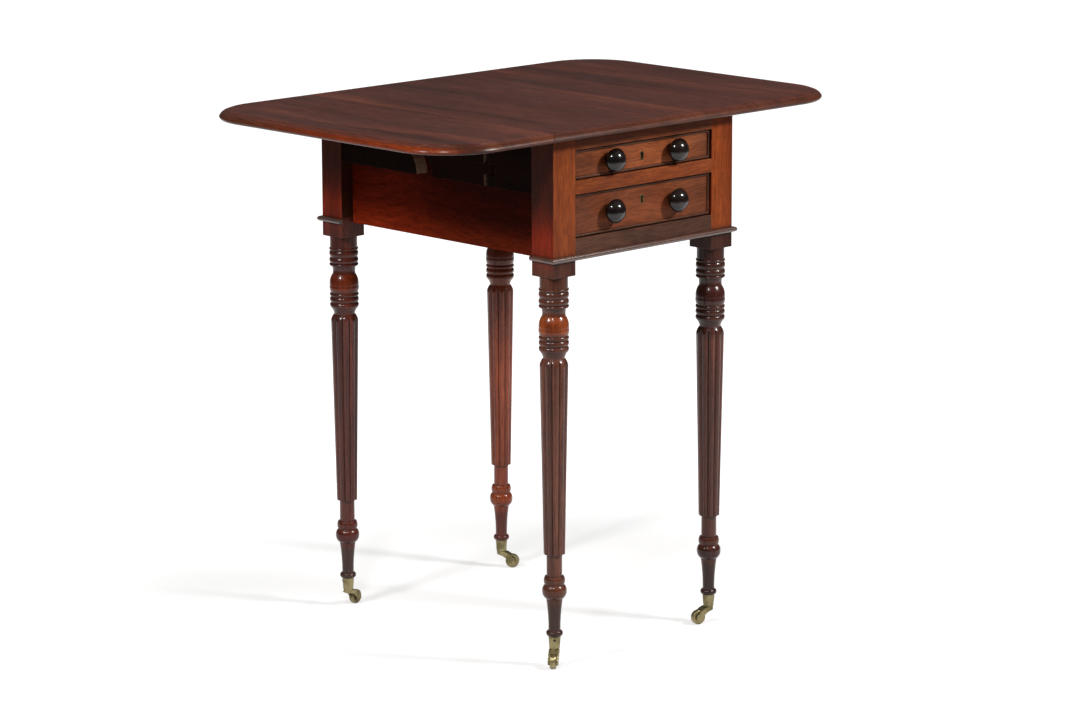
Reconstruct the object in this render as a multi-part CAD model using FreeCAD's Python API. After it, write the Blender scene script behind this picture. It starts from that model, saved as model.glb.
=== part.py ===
import FreeCAD, Part
import math
import os

# A pembroke table: a frame on four turned and reeded legs, two drawers, a fixed top and two
# leaves that drop on rule joints. Lengths are millimetres and angles are degrees. X runs from
# leaf to leaf, the drawers open towards -Y, Z is up, and the origin is on the floor.

# The whole table
table_height = 720.0
open_width = 750.0
top_depth = 498.0
fixed_width = 360.0
top_thickness = 12.0
corner_radius = 88.0
seam_overhang = 12.5
end_overhang = 22.5
post_width = 40.0
overrun = 5.0
coincidence = 1e-6

# Thumb-moulded edge of the top and the leaves
edge_width = 11.0
edge_quirk = 0.8
edge_quirk_width = 0.8
edge_nose_drop = 8.0
edge_return = 3.5
edge_bulge_share = 0.15
edge_return_bulge_share = 0.16

# Rule joints and back-flap hinges
rule_fillet = 2.5
rule_axis_height = 2.5
rule_clearance = 0.4
seam_gap = 0.3
hinge_spacing = 300.0
hinge_width = 40.0
hinge_plate = 2.0
hinge_top_flap = 30.0
hinge_leaf_flap = 45.0
hinge_knuckle_radius = 2.5
hinge_pin_radius = 1.2
hinge_bore_clearance = 0.05
hinge_clearance = 0.3
hinge_end_clearance = 0.5
hinge_knuckles = 3

# Front rails and drawer openings, from the top down
top_rail_height = 18.0
upper_opening = 40.0
middle_rail_height = 18.0
lower_opening = 58.0
bottom_rail_height = 28.0
apron_thickness = 20.0
tenon_length = 16.0
tenon_thickness = 8.0
tenon_shoulder = 3.0
apron_tenon_shoulder = 12.0
rail_tenon_width = 16.0
base_bead_height = 7.0
base_bead_projection = 5.5

# Fly rails with their wooden knuckle joints
fly_depth = 75.0
# The rail's length from the front post to the pin, on to the bracket's heel, and on to the rear post
fly_length_shares = (80.0, 111.0, 182.0)
fly_end_land = 1.0
fly_finger_gap = 30.0
fly_fingers = 5
fly_clearance = 0.4
fly_finger_clearance = 0.3
fly_pin_radius = 2.0
fly_bore_clearance = 0.05

# Drawers
front_recess = 5.0
front_thickness = 20.0
front_gap = 0.8
bead_thickness = 3.5
bead_projection = 2.2
bead_seat = 7.0
side_thickness = 8.0
side_rest_gap = 0.3
side_top_gap = 2.0
drawer_back_gap = 6.0
tail_length = 12.0
tail_pitch = 18.0
tail_wide_share = 0.62
tail_narrow_share = 0.42
panel_thickness = 5.0
panel_rise = 6.0
panel_side_groove = 4.0
panel_front_groove = 6.0
back_top_drop = 4.0
runner_width = 20.0
runner_height = 18.0
stop_width = 25.0
stop_height = 5.0
stop_length = 12.0
stop_spacing = 145.0
stop_gap = 0.3

# Knobs, from the face of the head to the foot of the spigot
knob_spacing = 118.0
knob_diameter = 32.5
knob_face_height = 11.0
knob_back_height = 9.0
knob_stem_diameter = 14.0
knob_stem_height = 1.5
knob_foot_diameter = 18.0
knob_foot_height = 1.0
knob_spigot_diameter = 9.0
knob_spigot_length = 18.0
knob_back_bulge_share = 0.2
knob_stem_bulge_share = -0.2

# Keyholes, locks and bolts
keyhole_drop = 18.0
keyhole_radius = 2.2
keyhole_slot_width = 2.6
keyhole_slot_length = 7.5
escutcheon_wall = 1.3
escutcheon_depth = 4.0
escutcheon_proud = 0.3
lock_width = 46.0
lock_height = 26.0
lock_depth = 9.0
bolt_width = 16.0
bolt_thickness = 5.0
bolt_height = 12.0
bolt_travel = 6.0
bolt_clearance = 0.2
bolt_mortise_clearance = 0.8

# Leg turning above the reeds, from the post down
post_height = 182.0
neck_height = 16.0
neck_diameter = 37.5
ring_diameter = 40.0
groove_diameter = 36.4
upper_rings_height = 26.0
upper_ring_shares = (0.15, 0.37, 0.33, 0.15)
cove_height = 11.0
cove_top_diameter = 33.0
cove_diameter = 31.5
bulb_height = 26.0
bulb_diameter = 40.0
bulb_top_share = 0.62
bulb_foot_diameter = 37.0
lower_rings_height = 21.5
lower_ring_shares = (0.27, 0.38, 0.35)
waist_height = 8.5
waist_diameter = 28.5
cove_bulge_share = -0.06
bulb_bulge_share = 0.09
waist_bulge_share = -0.06

# Reeded shaft
reed_count = 10
reed_depth_share = 0.15
reed_dome_height = 13.0
reed_dome_bulge_share = 0.09
reed_ease = 0.6
shaft_top_diameter = 38.0
shaft_bottom_diameter = 28.5

# Leg turning below the reeds, from the reeds down
ankle_height = 30.5
ankle_diameter = 20.6
collar_height = 11.0
collar_diameter = 28.5
collar_waist_diameter = 25.5
onion_height = 19.5
onion_diameter = 32.5
onion_top_share = 0.5
onion_bulge_share = 0.13
foot_height = 43.2
foot_top_diameter = 22.0
foot_bottom_diameter = 16.0
foot_bulge_share = -0.02
foot_ring_height = 8.2
foot_ring_diameter = 22.5

# Casters
caster_height = 24.0
cup_height = 16.6
cup_top_diameter = 16.6
cup_bottom_diameter = 14.0
cup_wall = 2.0
cup_fit = 0.1
swivel_pin_radius = 2.0
swivel_head_radius = 3.0
swivel_head_height = 1.3
swivel_clearance = 0.05
swivel_gap = 0.3
horn_disc_radius = 6.5
horn_disc_height = 4.3
horn_boss_radius = 5.2
horn_cheek = 2.5
horn_top_bulge_share = 0.1
horn_throat_bulge_share = -0.12
horn_heel_share = 0.6
caster_trail = 16.0
wheel_diameter = 19.6
wheel_width = 8.0
wheel_crown = 2.0
wheel_crown_drop = 1.2
wheel_crown_bulge_share = 0.2
wheel_clearance = 0.4
wheel_rim_clearance = 0.6
axle_radius = 2.0
axle_clearance = 0.05
caster_angles = {"front_left": -141.0, "front_right": 162.0, "rear_left": 12.0, "rear_right": -52.0}

# Places that follow from the sizes above
underside = table_height - top_thickness
seam_x = fixed_width / 2
frame_width = fixed_width - 2 * seam_overhang
frame_depth = top_depth - 2 * end_overhang
rule_axis_z = underside + rule_axis_height
rule_radius = top_thickness - rule_fillet - rule_axis_height
outer_x = frame_width / 2
outer_y = frame_depth / 2
leg_x = outer_x - post_width / 2
leg_y = outer_y - post_width / 2
opening_half = outer_x - post_width
post_back_y = outer_y - post_width
front_y = -outer_y
drawer_y = front_y + front_recess
front_back_y = drawer_y + front_thickness
rear_inner_y = outer_y - apron_thickness
top_rail_low = underside - top_rail_height
upper_low = top_rail_low - upper_opening
middle_rail_low = upper_low - middle_rail_height
lower_low = middle_rail_low - lower_opening
carcase_low = lower_low - bottom_rail_height
apron_outer_x = opening_half + apron_thickness
fly_thickness = outer_x - apron_outer_x
fly_low = underside - fly_depth
fly_axis_x = apron_outer_x + fly_thickness / 2
fly_length_unit = 2 * post_back_y / sum(fly_length_shares)
fly_axis_y = -post_back_y + fly_length_unit * fly_length_shares[0]
fly_heel_y = fly_axis_y + fly_length_unit * fly_length_shares[1]
fly_block_y = fly_heel_y + fly_finger_gap
fly_end_radius = fly_depth / 2 - fly_end_land
post_low = underside - post_height
wheel_radius = wheel_diameter / 2
corners = {
    "front_left": (-1, -1),
    "front_right": (1, -1),
    "rear_left": (-1, 1),
    "rear_right": (1, 1),
}
origin = FreeCAD.Vector(0, 0, 0)
along_x = FreeCAD.Vector(1, 0, 0)
along_y = FreeCAD.Vector(0, 1, 0)
along_z = FreeCAD.Vector(0, 0, 1)


def vec(x, y, z):
    return FreeCAD.Vector(x, y, z)


def box(x_low, x_high, y_low, y_high, z_low, z_high):
    corner = vec(x_low, y_low, z_low)
    return Part.makeBox(x_high - x_low, y_high - y_low, z_high - z_low, corner)


def rod(start, axis, radius, length):
    return Part.makeCylinder(radius, length, start, axis)


def fused(shapes):
    return shapes[0].multiFuse(shapes[1:]).removeSplitter()


def mirrored_x(shape):
    return shape.mirror(origin, along_x)


def mirrored_y(shape):
    return shape.mirror(origin, along_y)


# A flat face inside a closed outline. Each stretch has a bulge: the height of its arc as a share
# of its chord, zero on a straight stretch and negative where the outline is hollow.
def outline_face(points, bulges, normal):
    edges = []
    for index, bulge in enumerate(bulges):
        start = points[index]
        end = points[(index + 1) % len(points)]
        if bulge:
            middle = (start + end) * 0.5 + (end - start).cross(normal) * bulge
            edges.append(Part.Arc(start, middle, end).toShape())
        else:
            edges.append(Part.LineSegment(start, end).toShape())
    return Part.Face(Part.Wire(edges))


def prism(points, push):
    return Part.Face(Part.makePolygon(points + points[:1])).extrude(push)


# A solid turned about Z from rows of height, upper diameter, lower diameter and bulge, walking down.
def turned(rows, top):
    points = [vec(0, 0, top)]
    bulges = []
    level = top
    for height, upper, lower, bulge in rows:
        shoulder = vec(upper / 2, 0, level)
        if not shoulder.isEqual(points[-1], coincidence):
            points.append(shoulder)
            bulges.append(0)
        level = level - height
        points.append(vec(lower / 2, 0, level))
        bulges.append(bulge)
    points.append(vec(0, 0, level))
    bulges.extend((0, 0))
    return outline_face(points, bulges, along_y).revolve(origin, along_z, 360)


# Rows for a stack of beads between grooves.
def bead_rows(stack_height, shares, crest, groove):
    rows = []
    for share in shares:
        height = stack_height * share
        rows.append((height, groove, groove, (crest - groove) / 2 / height))
    return rows


def rows_height(rows):
    return sum(row[0] for row in rows)


# Each node is one file; a group of like pieces shares one.
def save(node, *shapes):
    solids = [solid for shape in shapes for solid in shape.Solids]
    whole = solids[0] if len(solids) == 1 else Part.makeCompound(solids)
    whole.exportStep(os.path.join("parts", node + ".step"))


# Tenons and the rails that carry them
def rail_tenons(low, high):
    front = front_y + tenon_shoulder
    back = front + rail_tenon_width
    far = opening_half + tenon_length
    tenon = box(opening_half, far, front, back, low + tenon_shoulder, high - tenon_shoulder)
    return [tenon, mirrored_x(tenon)]


def side_apron_tenons():
    middle = opening_half + apron_thickness / 2
    low = carcase_low + apron_tenon_shoulder
    high = underside - apron_tenon_shoulder
    half = tenon_thickness / 2
    tenon = box(middle - half, middle + half, post_back_y, post_back_y + tenon_length, low, high)
    return [tenon, mirrored_y(tenon)]


def rear_apron_tenons():
    middle = outer_y - apron_thickness / 2
    low = carcase_low + apron_tenon_shoulder
    high = underside - apron_tenon_shoulder
    half = tenon_thickness / 2
    tenon = box(opening_half, opening_half + tenon_length, middle - half, middle + half, low, high)
    return [tenon, mirrored_x(tenon)]


def front_rail(low, high):
    body = box(-opening_half, opening_half, front_y, front_y + post_width, low, high)
    return fused([body] + rail_tenons(low, high))


# Legs
def reed_wire(radius, level):
    step = 2 * math.pi / reed_count
    groove = radius * (1 - reed_depth_share)
    arcs = []
    for index in range(reed_count):
        turns = (index * step, (index + 0.5) * step, (index + 1) * step)
        spans = (groove, radius, groove)
        ends = [vec(span * math.cos(turn), span * math.sin(turn), level) for span, turn in zip(spans, turns)]
        arcs.append(Part.Arc(*ends).toShape())
    return Part.Wire(arcs)


def reeded_shaft(top, low):
    run = top - reed_dome_height - low
    taper = (shaft_top_diameter - shaft_bottom_diameter) / 2 / run
    top_radius = shaft_top_diameter / 2 + taper * reed_dome_height
    wires = [reed_wire(top_radius, top), reed_wire(shaft_bottom_diameter / 2, low)]
    shaft = Part.makeLoft(wires, True, True)
    cover = shaft_top_diameter + reed_ease
    rows = [(reed_dome_height, waist_diameter, cover, reed_dome_bulge_share), (run, cover, cover, 0)]
    return shaft.common(turned(rows, top))


def leg():
    half = post_width / 2
    post = box(-half, half, -half, half, post_low, underside)
    upper_bulb = bulb_height * bulb_top_share
    upper = [(neck_height, neck_diameter, neck_diameter, 0)]
    upper += bead_rows(upper_rings_height, upper_ring_shares, ring_diameter, groove_diameter)
    upper += [
        (cove_height, cove_top_diameter, cove_diameter, cove_bulge_share),
        (upper_bulb, cove_diameter, bulb_diameter, bulb_bulge_share),
        (bulb_height - upper_bulb, bulb_diameter, bulb_foot_diameter, bulb_bulge_share),
    ]
    upper += bead_rows(lower_rings_height, lower_ring_shares, ring_diameter, groove_diameter)
    upper += [(waist_height, groove_diameter, waist_diameter, waist_bulge_share)]
    upper_onion = onion_height * onion_top_share
    peg_top = cup_top_diameter - 2 * cup_wall - 2 * cup_fit
    peg_bottom = cup_bottom_diameter - 2 * cup_wall - 2 * cup_fit
    lower = [(ankle_height, ankle_diameter, ankle_diameter, 0)]
    lower += bead_rows(collar_height, (1,), collar_diameter, collar_waist_diameter)
    lower += [
        (upper_onion, collar_waist_diameter, onion_diameter, onion_bulge_share),
        (onion_height - upper_onion, onion_diameter, foot_top_diameter, onion_bulge_share),
        (foot_height, foot_top_diameter, foot_bottom_diameter, foot_bulge_share),
    ]
    lower += bead_rows(foot_ring_height, (1,), foot_ring_diameter, foot_bottom_diameter)
    lower += [(cup_height - cup_wall - cup_fit, peg_top, peg_bottom, 0)]
    shaft_top = post_low - rows_height(upper)
    shaft_low = caster_height + cup_wall + cup_fit + rows_height(lower)
    shaft = reeded_shaft(shaft_top, shaft_low)
    return fused([post, turned(upper, post_low), shaft, turned(lower, shaft_low)])


# Carcase: aprons, rails, runners, kickers, stops and mouldings
def side_apron():
    body = box(opening_half, apron_outer_x, -post_back_y, post_back_y, carcase_low, underside)
    return fused([body] + side_apron_tenons())


def rear_apron(low, high):
    body = box(-opening_half, opening_half, rear_inner_y, outer_y, low, high)
    return fused([body] + rear_apron_tenons())


def runner(low, high):
    inner = opening_half - runner_width
    return box(inner, opening_half, -post_back_y, rear_inner_y, low, high)


def stop(low):
    near = front_back_y + stop_gap
    left = stop_spacing / 2 - stop_width / 2
    return box(left, left + stop_width, near, near + stop_length, low, low + stop_height)


# Round-nosed moulding along the foot of the front, mitred to short returns on the posts.
def base_moulding():
    radius = base_bead_height / 2
    level = carcase_low + radius
    high = carcase_low + base_bead_height
    reach_x = outer_x + base_bead_projection
    reach_y = outer_y + base_bead_projection
    nose_x = reach_x - radius
    nose_y = reach_y - radius
    run = fused([
        box(-reach_x, reach_x, -nose_y, -outer_y, carcase_low, high),
        rod(vec(-reach_x, -nose_y, level), along_x, radius, 2 * reach_x),
    ])
    side = fused([
        box(outer_x, nose_x, -reach_y, -post_back_y, carcase_low, high),
        rod(vec(nose_x, -reach_y, level), along_y, radius, reach_y - post_back_y),
    ])
    lift = vec(0, 0, base_bead_height)
    front_plan = [(-reach_x, -reach_y), (reach_x, -reach_y), (outer_x, -outer_y), (-outer_x, -outer_y)]
    side_plan = [(reach_x, -reach_y), (reach_x, -post_back_y), (outer_x, -post_back_y), (outer_x, -outer_y)]
    front = run.common(prism([vec(x, y, carcase_low) for x, y in front_plan], lift))
    back = side.common(prism([vec(x, y, carcase_low) for x, y in side_plan], lift))
    return [front, back, mirrored_x(back)]


# Fly rails, on the +X side
def fly_levels(first):
    height = fly_depth / fly_fingers
    lows = [fly_low + height * index for index in range(first, fly_fingers, 2)]
    return [(low, low + height) for low in lows]


def fly_finger(low, high, radius, reach):
    near = min(fly_axis_y, fly_axis_y + reach)
    far = max(fly_axis_y, fly_axis_y + reach)
    barrel = rod(vec(fly_axis_x, fly_axis_y, low), along_z, radius, high - low)
    arm = box(fly_axis_x - radius, fly_axis_x + radius, near, far, low, high)
    return barrel.fuse(arm)


def fly_front_block():
    radius = fly_thickness / 2
    shoulder = radius + fly_clearance
    body = box(apron_outer_x, outer_x, -post_back_y, fly_axis_y - shoulder, fly_low, underside)
    fingers = [fly_finger(low, high, radius, -shoulder) for low, high in fly_levels(0)]
    return fused([body] + fingers).cut(fly_pin())


def fly_pin():
    return rod(vec(fly_axis_x, fly_axis_y, fly_low), along_z, fly_pin_radius, fly_depth)


# The free end of a bracket and the block it meets are cut to the same ogee, a hollow above a round
# seen from the block. The points walk up the cut from the lower edge at the Y given.
def fly_ogee(x, y):
    middle = fly_low + fly_depth / 2
    return [
        vec(x, y, fly_low),
        vec(x, y, fly_low + fly_end_land),
        vec(x, y + fly_end_radius, middle),
        vec(x, y + 2 * fly_end_radius, underside - fly_end_land),
    ]


def fly_bracket():
    radius = fly_thickness / 2 - fly_clearance
    shoulder = fly_thickness / 2 + fly_clearance
    top = underside - fly_clearance
    near = fly_axis_y + shoulder
    inner = fly_axis_x - radius
    quarter = (math.sqrt(2) - 1) / 2
    cut = fly_ogee(inner, fly_heel_y)
    points = [vec(inner, near, fly_low)] + cut
    points += [vec(inner, cut[-1].y, top), vec(inner, near, top)]
    face = outline_face(points, (0, 0, -quarter, quarter, 0, 0, 0), along_x)
    fingers = []
    for low, high in fly_levels(1):
        fingers.append(fly_finger(low + fly_finger_clearance, high - fly_finger_clearance, radius, shoulder))
    bore = rod(vec(fly_axis_x, fly_axis_y, fly_low), along_z, fly_pin_radius + fly_bore_clearance, fly_depth)
    return fused([face.extrude(vec(2 * radius, 0, 0))] + fingers).cut(bore)


def fly_rear_block():
    quarter = (math.sqrt(2) - 1) / 2
    cut = fly_ogee(apron_outer_x, fly_block_y)
    points = [vec(apron_outer_x, post_back_y, fly_low)] + cut
    points += [vec(apron_outer_x, cut[-1].y, underside), vec(apron_outer_x, post_back_y, underside)]
    face = outline_face(points, (0, 0, quarter, -quarter, 0, 0, 0), -along_x)
    return face.extrude(vec(fly_thickness, 0, 0))


# Top and leaves. The section has its moulded edge towards +X and starts at the X given as zero.
def edge_section(run):
    points = [
        vec(0, 0, table_height),
        vec(run - edge_width, 0, table_height),
        vec(run - edge_width, 0, table_height - edge_quirk),
        vec(run - edge_width + edge_quirk_width, 0, table_height - edge_quirk),
        vec(run, 0, table_height - edge_nose_drop),
        vec(run - edge_return, 0, underside),
        vec(0, 0, underside),
    ]
    bulges = (0, 0, 0, edge_bulge_share, edge_return_bulge_share, 0, 0)
    return outline_face(points, bulges, along_y)


def slab_across(x_low, x_high):
    half = edge_section(top_depth / 2).extrude(vec(0, x_high - x_low, 0))
    half = half.rotated(origin, along_z, 90).translated(vec(x_high, 0, 0))
    return [half, mirrored_y(half)]


def rule_round(radius):
    return rod(vec(seam_x, -top_depth, rule_axis_z), along_y, radius, 2 * top_depth)


def hinge_box(y, x_low, x_high, z_high, spread):
    half = hinge_width / 2 + spread
    return box(x_low, x_high, y - half, y + half, underside, z_high)


def hinge_places():
    return [-hinge_spacing / 2, hinge_spacing / 2]


# Room for one hinge in the underside of the fixed top.
def hinge_mortise(y):
    knuckle = hinge_knuckle_radius + hinge_clearance
    half = hinge_width / 2 + hinge_end_clearance
    flap = hinge_box(y, seam_x - hinge_top_flap, seam_x - knuckle, underside + hinge_plate, 0)
    swing = hinge_box(y, seam_x - knuckle, seam_x + rule_radius + overrun, rule_axis_z, hinge_end_clearance)
    barrel = rod(vec(seam_x, y - half, rule_axis_z), along_y, knuckle, 2 * half)
    return flap.fuse(swing).fuse(barrel)


def fixed_top():
    reach = seam_x + rule_radius
    slab = fused(slab_across(-reach, reach))
    rebate = box(seam_x, reach + overrun, -top_depth, top_depth, underside - overrun, table_height + overrun)
    cuts = [rebate.cut(rule_round(rule_radius))]
    cuts += [hinge_mortise(y) for y in hinge_places()]
    return slab.cut(cuts + [mirrored_x(cut) for cut in cuts])


def leaf():
    corner_x = open_width / 2 - corner_radius
    corner_y = top_depth / 2 - corner_radius
    section = edge_section(corner_radius)
    side = section.extrude(vec(0, 2 * corner_y, 0)).translated(vec(corner_x, -corner_y, 0))
    corner = section.revolve(origin, along_z, 90).translated(vec(corner_x, corner_y, 0))
    slab = fused(slab_across(seam_x, corner_x) + [side, corner, mirrored_y(corner)])
    hollow = rule_radius + rule_clearance
    seam = box(seam_x - overrun, seam_x + seam_gap, -top_depth, top_depth, underside - overrun,
               table_height + overrun)
    foot = box(seam_x - overrun, seam_x + hollow, -top_depth, top_depth, underside - overrun, rule_axis_z)
    flaps = [leaf_flap(y) for y in hinge_places()]
    return slab.cut([seam, foot, rule_round(hollow)] + flaps)


def leaf_flap(y):
    knuckle = hinge_knuckle_radius + hinge_clearance
    return hinge_box(y, seam_x + knuckle, seam_x + hinge_leaf_flap, underside + hinge_plate, 0)


# One knuckle of a hinge with the strap that joins it to its flap on the side given.
def hinge_knuckle(y, index, side):
    length = hinge_width / hinge_knuckles
    low = y - hinge_width / 2 + length * index + hinge_clearance / 2
    high = low + length - hinge_clearance
    reach = seam_x + side * (hinge_knuckle_radius + hinge_clearance)
    barrel = rod(vec(seam_x, low, rule_axis_z), along_y, hinge_knuckle_radius, high - low)
    strap = box(min(seam_x, reach), max(seam_x, reach), low, high, underside, underside + hinge_plate)
    return barrel.fuse(strap)


def hinge_top_plate(y):
    knuckle = hinge_knuckle_radius + hinge_clearance
    flap = hinge_box(y, seam_x - hinge_top_flap, seam_x - knuckle, underside + hinge_plate, 0)
    knuckles = [hinge_knuckle(y, index, -1) for index in range(0, hinge_knuckles, 2)]
    return fused([flap] + knuckles).cut(hinge_pin(y, 0))


def hinge_leaf_plate(y):
    knuckles = [hinge_knuckle(y, index, 1) for index in range(1, hinge_knuckles, 2)]
    return fused([leaf_flap(y)] + knuckles).cut(hinge_pin(y, hinge_bore_clearance))


def hinge_pin(y, spread):
    start = vec(seam_x, y - hinge_width / 2, rule_axis_z)
    return rod(start, along_y, hinge_pin_radius + spread, hinge_width)


# Drawer fronts, shams and their fittings, facing -Y from a face at the Y given
def bead_frame(half, low, high, face):
    nose = face - bead_projection + bead_thickness / 2
    seat = face + bead_seat
    round_share = 0.5
    inner = half - bead_thickness

    def strip(start, end, across):
        edge = start + across * bead_thickness
        shift = end - start
        points = [vec(start.x, seat, start.z), vec(start.x, nose, start.z), vec(edge.x, nose, edge.z)]
        points.append(vec(edge.x, seat, edge.z))
        normal = across.cross(along_y)
        bar = outline_face(points, (0, round_share, 0, 0), normal).extrude(shift)
        plan = [start, end, end + across * bead_thickness - shift * (bead_thickness / shift.Length)]
        plan.append(start + across * bead_thickness + shift * (bead_thickness / shift.Length))
        depth = seat - face + bead_projection
        lifted = [vec(point.x, face - bead_projection, point.z) for point in plan]
        return bar.common(prism(lifted, vec(0, depth, 0)))

    left_low = vec(-half, 0, low)
    left_high = vec(-half, 0, high)
    right_low = vec(half, 0, low)
    right_high = vec(half, 0, high)
    strips = [
        strip(left_low, right_low, along_z),
        strip(left_high, right_high, -along_z),
        strip(left_low, left_high, along_x),
        strip(right_low, right_high, -along_x),
    ]
    outer = box(-half, half, face, seat, low, high)
    core = box(-inner, inner, face, seat, low + bead_thickness, high - bead_thickness)
    return strips, outer.cut(core)


def knob(x, level, face):
    face_share = math.tan(math.atan2(2 * knob_face_height, knob_diameter) / 2) / 2
    rows = [
        (knob_face_height, 0, knob_diameter, face_share),
        (knob_back_height, knob_diameter, knob_stem_diameter, knob_back_bulge_share),
        (knob_stem_height, knob_stem_diameter, knob_foot_diameter, knob_stem_bulge_share),
        (knob_foot_height, knob_foot_diameter, knob_foot_diameter, 0),
        (knob_spigot_length, knob_spigot_diameter, knob_spigot_diameter, 0),
    ]
    proud = rows_height(rows[:-1])
    return turned(rows, proud).rotated(origin, along_x, 90).translated(vec(x, face, level))


def knob_pair(level, face):
    return [knob(-knob_spacing / 2, level, face), knob(knob_spacing / 2, level, face)]


def keyhole(level, grow, y_low, y_high):
    half = keyhole_slot_width / 2 + grow
    eye = rod(vec(0, y_low, level), along_y, keyhole_radius + grow, y_high - y_low)
    slot = box(-half, half, y_low, y_high, level - keyhole_slot_length - grow, level)
    return eye.fuse(slot)


def bolt_block(high, grow, rise):
    middle = front_back_y - lock_depth / 2
    half_width = bolt_width / 2 + grow
    half_depth = bolt_thickness / 2 + grow
    return box(-half_width, half_width, middle - half_depth, middle + half_depth, high - bolt_height - grow,
               high + rise)


# Mortise for a bolt in the rail above an opening that ends at the level given.
def bolt_mortise(high):
    top = high - front_gap
    return bolt_block(top, bolt_mortise_clearance, bolt_travel + bolt_mortise_clearance)


def drawer(low, high):
    half = opening_half - front_gap
    front_low = low + front_gap
    front_high = high - front_gap
    side_low = low + side_rest_gap
    side_high = high - side_top_gap
    end_y = rear_inner_y - drawer_back_gap
    inner = half - side_thickness
    panel_low = side_low + panel_rise
    panel_high = panel_low + panel_thickness
    middle = (low + high) / 2
    key_level = front_high - keyhole_drop
    lock_y = front_back_y - lock_depth

    panel_half = inner + panel_side_groove
    panel = box(-panel_half, panel_half, front_back_y - panel_front_groove, end_y, panel_low, panel_high)
    back = box(-inner, inner, end_y - side_thickness, end_y, panel_high, side_high - back_top_drop)

    tails = []
    tail_count = max(1, int((side_high - side_low) / tail_pitch))
    step = (side_high - side_low) / tail_count
    for index in range(tail_count):
        centre = side_low + step * (index + 0.5)
        wide = step * tail_wide_share / 2
        narrow = step * tail_narrow_share / 2
        tip_y = front_back_y - tail_length
        points = [
            vec(inner, front_back_y, centre - narrow),
            vec(inner, tip_y, centre - wide),
            vec(inner, tip_y, centre + wide),
            vec(inner, front_back_y, centre + narrow),
        ]
        tails.append(prism(points, vec(side_thickness, 0, 0)))
    board = box(inner, half, front_back_y, end_y, side_low, side_high)
    side = fused([board] + tails).cut(panel)
    sides = [side, mirrored_x(side)]

    bead, bead_rebate = bead_frame(half, front_low, front_high, drawer_y)
    knobs = knob_pair(middle, drawer_y)
    lining = keyhole(key_level, escutcheon_wall, drawer_y - escutcheon_proud, drawer_y + escutcheon_depth)
    hole = keyhole(key_level, 0, drawer_y - overrun, front_back_y)
    case = box(-lock_width / 2, lock_width / 2, lock_y, front_back_y, front_high - lock_height, front_high)
    slot = bolt_block(front_high, bolt_clearance, overrun)
    front = box(-half, half, drawer_y, front_back_y, front_low, front_high)
    front = front.cut([bead_rebate, panel, lining, hole, case] + knobs + sides)
    return {
        "front": [front],
        "sides": sides,
        "back": [back],
        "bottom": [panel],
        "beading": bead,
        "knobs": knobs,
        "escutcheon": [lining.cut(hole)],
        "lock": [case.cut([slot, keyhole(key_level, 0, lock_y, lock_y + lock_depth / 2)])],
        "lock_bolt": [bolt_block(front_high, 0, 0)],
    }


# The rear apron is dressed as two drawers, with beads let into its face.
def sham_front(low, high):
    half = opening_half - front_gap
    bead, rebate = bead_frame(half, low + front_gap, high - front_gap, front_y)
    knobs = knob_pair((low + high) / 2, front_y)
    pieces = (bead, [rebate], knobs)
    return [[mirrored_y(shape) for shape in group] for group in pieces]


# Casters, with the wheel trailing along +X
def caster_cup():
    outer = [(cup_height, cup_top_diameter, cup_bottom_diameter, 0)]
    rim = cup_top_diameter - 2 * cup_wall
    floor = cup_bottom_diameter - 2 * cup_wall
    inner = [(cup_height - cup_wall, rim, floor, 0)]
    top = caster_height + cup_height
    shell = turned(outer, top).cut(turned(inner, top))
    stem = horn_disc_height + swivel_gap + swivel_clearance
    pin = rod(vec(0, 0, caster_height - stem), along_z, swivel_pin_radius, stem)
    head_low = caster_height - stem - swivel_head_height
    head = rod(vec(0, 0, head_low), along_z, swivel_head_radius, swivel_head_height)
    return fused([shell, pin, head])


def wheel_round(radius, width):
    return rod(vec(caster_trail, -width / 2, wheel_radius), along_y, radius, width)


def caster_horn():
    slot_width = wheel_width + 2 * wheel_clearance
    width = slot_width + 2 * horn_cheek
    disc_high = caster_height - swivel_gap
    disc_low = disc_high - horn_disc_height
    disc = rod(vec(0, 0, disc_low), along_z, horn_disc_radius, horn_disc_height)
    boss = wheel_round(horn_boss_radius, width)
    heel = horn_boss_radius * horn_heel_share
    points = [
        vec(horn_disc_radius * horn_heel_share, -width / 2, disc_high),
        vec(caster_trail + heel, -width / 2, wheel_radius + horn_boss_radius * horn_heel_share),
        vec(caster_trail - heel, -width / 2, wheel_radius - horn_boss_radius * horn_heel_share),
        vec(-horn_disc_radius * horn_heel_share, -width / 2, disc_low),
    ]
    web = outline_face(points, (horn_top_bulge_share, 0, horn_throat_bulge_share, 0), along_y)
    body = fused([disc, boss, web.extrude(vec(0, width, 0))])
    bore = rod(vec(0, 0, disc_low), along_z, swivel_pin_radius + swivel_clearance, horn_disc_height)
    sink_radius = swivel_head_radius + wheel_clearance
    sink = rod(vec(0, 0, 0), along_z, sink_radius, disc_low)
    slot = wheel_round(wheel_radius + wheel_rim_clearance, slot_width)
    axle = wheel_round(axle_radius, width)
    return body.cut([bore, sink, slot]).fuse(axle).removeSplitter()


def caster_wheel():
    side = wheel_diameter - 2 * wheel_crown_drop
    rows = [
        (wheel_crown, side, wheel_diameter, wheel_crown_bulge_share),
        (wheel_width - 2 * wheel_crown, wheel_diameter, wheel_diameter, 0),
        (wheel_crown, wheel_diameter, side, wheel_crown_bulge_share),
    ]
    disc = turned(rows, wheel_width / 2).rotated(origin, along_x, 90)
    disc = disc.translated(vec(caster_trail, 0, wheel_radius))
    return disc.cut(wheel_round(axle_radius + axle_clearance, wheel_width))


os.makedirs("parts", exist_ok=True)

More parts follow.
